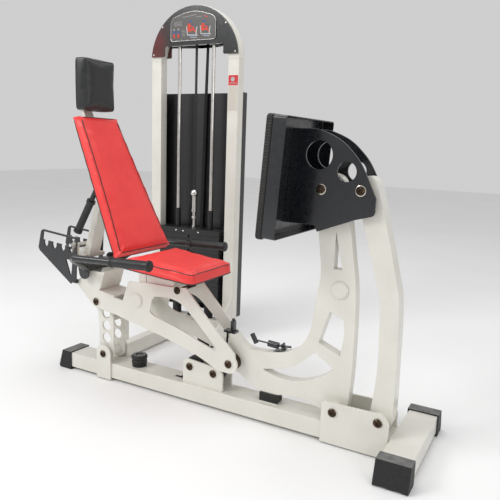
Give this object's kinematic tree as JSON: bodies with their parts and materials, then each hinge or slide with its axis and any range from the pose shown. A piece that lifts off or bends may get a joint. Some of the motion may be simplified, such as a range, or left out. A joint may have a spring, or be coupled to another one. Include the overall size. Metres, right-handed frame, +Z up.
{
  "type": "leg press machine",
  "caption": "Seated leg press: a curved press arm and linked rear upright carry a footplate, a swinging seat frame with adjustable backrest, and a weight stack tower beside it.",
  "frame": {"origin": "Centre of the machine's footprint, on the floor.", "axes": "+X runs along the base rail from the backrest to the footplate, +Y from the rail to the weight tower, +Z up."},
  "size_m": [1.69, 1.087, 1.6815],
  "materials": {
    "cream_paint": "satin off-white powder coat",
    "black_paint": "gloss black powder coat",
    "black_rubber": "matt black rubber",
    "grip_rubber": "fine-ribbed black rubber",
    "black_plastic": "gloss black moulded plastic",
    "pulley_plastic": "matt black nylon",
    "chrome": "polished chrome",
    "bolt_steel": "dark bronzed steel",
    "stack_iron": "black painted iron",
    "red_vinyl": "red vinyl over foam, black at the sides",
    "black_vinyl": "black vinyl over foam",
    "belt": "black reinforced belt",
    "cable": "black coated steel cable",
    "placard": "dark grey printed plate",
    "red_knob": "red moulded knob"
  },
  "bodies": {
    "base": {"base_rail": "cream_paint", "front_cross_tube": "cream_paint", "foot_caps": "black_rubber", "front_bracket": "cream_paint", "rear_bracket": "cream_paint", "cable_bracket": "cream_paint", "base_pivot_bolts": "bolt_steel", "arm_stop": "black_rubber", "bumper": "black_rubber", "tower_strut": "cream_paint", "tower_base_beam": "cream_paint", "tower_foot": "cream_paint", "tower_rubber_feet": "black_rubber", "left_column": "cream_paint", "right_column": "cream_paint", "tower_arch": "cream_paint", "front_arch_cover": "black_plastic", "rear_arch_cover": "black_plastic", "placard": "placard", "rear_shroud": "black_paint", "guide_rods": "chrome", "stack_buffers": "black_rubber", "resting_plates": "stack_iron", "top_brackets": "black_paint", "drive_belt": "belt", "stack_belt": "belt", "rail_cable": "cable", "arm_cable": "cable"},
    "top_sheave": {"top_pulley": "pulley_plastic"},
    "base_sheave": {"base_pulley": "pulley_plastic"},
    "rear_sheave": {"rear_cable_pulley": "pulley_plastic"},
    "front_sheave": {"front_cable_pulley": "pulley_plastic"},
    "weight_head": {"head_plate": "stack_iron", "lifted_plates": "stack_iron", "selector_stem": "chrome", "cable_coupler": "black_paint"},
    "pin": {"selector_pin": "red_knob"},
    "arm": {"press_arm": "cream_paint", "arm_cross_tube": "cream_paint", "arm_hardware": "black_paint"},
    "upright": {"rear_upright": "cream_paint"},
    "foot_carriage": {"foot_gussets": "black_paint", "footplate": "black_paint", "footplate_pad": "black_rubber", "foot_bolts": "bolt_steel"},
    "link": {"swing_link": "cream_paint"},
    "seat": {"seat_frame": "cream_paint", "seat_cross_tube": "cream_paint", "seat_bolts": "bolt_steel", "seat_carrier": "cream_paint", "seat_cushion": "red_vinyl", "adjuster_rack": "black_paint", "handle_brackets": "black_paint", "handle_tubes": "black_paint", "handle_grips": "grip_rubber"},
    "back": {"back_slider": "cream_paint", "back_cushion": "red_vinyl", "head_cushion": "black_vinyl", "adjust_handle": "grip_rubber"},
    "lock": {"lock_bar": "chrome"}
  },
  "joints": [
    {"name": "press", "type": "hinge", "parent": "base", "child": "arm", "pos_m": [0.541, -0.2705, 0.12], "axis": [0, 1, 0], "range_deg": [0, 20], "deforming": ["arm_cable"]},
    {"name": "foot_tilt", "type": "hinge", "parent": "arm", "child": "foot_carriage", "pos_m": [0.454, -0.2705, 0.87], "axis": [0, 1, 0], "range_deg": [-24, 0]},
    {"name": "upright_swing", "type": "hinge", "parent": "base", "child": "upright", "pos_m": [0.698, -0.2705, 0.125], "axis": [0, 1, 0], "range_deg": [0, 20.5]},
    {"name": "seat_swing", "type": "hinge", "parent": "arm", "child": "seat", "pos_m": [0.13, -0.2705, 0.204], "axis": [0, 1, 0], "range_deg": [-32, 0]},
    {"name": "link_swing", "type": "hinge", "parent": "base", "child": "link", "pos_m": [-0.487, -0.2705, 0.114], "axis": [0, 1, 0], "range_deg": [0, 8.5]},
    {"name": "weight_lift", "type": "slide", "parent": "base", "child": "weight_head", "axis": [0, 0, 1], "range_m": [0, 0.16], "deforming": ["stack_belt"]},
    {"name": "pin_pull", "type": "slide", "parent": "weight_head", "child": "pin", "axis": [0, -1, 0], "range_m": [0, 0.08]},
    {"name": "back_slide", "type": "slide", "parent": "seat", "child": "back", "axis": [-0.9962, 0, 0.0872], "range_m": [0, 0.1]},
    {"name": "lock_drop", "type": "slide", "parent": "back", "child": "lock", "axis": [-0.0872, 0, -0.9962], "range_m": [0, 0.026]},
    {"name": "top_pulley_spin", "type": "hinge", "parent": "base", "child": "top_sheave", "pos_m": [-0.5625, 0.4965, 1.548], "axis": [0.8462, -0.5328, 0], "range_deg": [-1, 305]},
    {"name": "base_pulley_spin", "type": "hinge", "parent": "base", "child": "base_sheave", "pos_m": [-0.5795, 0.4875, 0.084], "axis": [1, 0, 0], "range_deg": [-270, 1]},
    {"name": "rear_pulley_spin", "type": "hinge", "parent": "base", "child": "rear_sheave", "pos_m": [-0.058, -0.2705, 0.146], "axis": [0, 1, 0], "range_deg": [-305, 1]},
    {"name": "front_pulley_spin", "type": "hinge", "parent": "base", "child": "front_sheave", "pos_m": [0.05, -0.2705, 0.14], "axis": [0, 1, 0], "range_deg": [-305, 1]}
  ],
  "couplings": [
    {"joint": "foot_tilt", "follows": "press", "ratio": -1.1823},
    {"joint": "upright_swing", "follows": "press", "ratio": 0.9969},
    {"joint": "seat_swing", "follows": "press", "ratio": -1.589},
    {"joint": "link_swing", "follows": "press", "ratio": 0.395},
    {"joint": "weight_lift", "follows": "press", "m_per_rad": 0.451},
    {"joint": "top_pulley_spin", "follows": "press", "ratio": 15.03},
    {"joint": "base_pulley_spin", "follows": "press", "ratio": -13.265},
    {"joint": "rear_pulley_spin", "follows": "press", "ratio": -15.033},
    {"joint": "front_pulley_spin", "follows": "press", "ratio": -15.033}
  ]
}
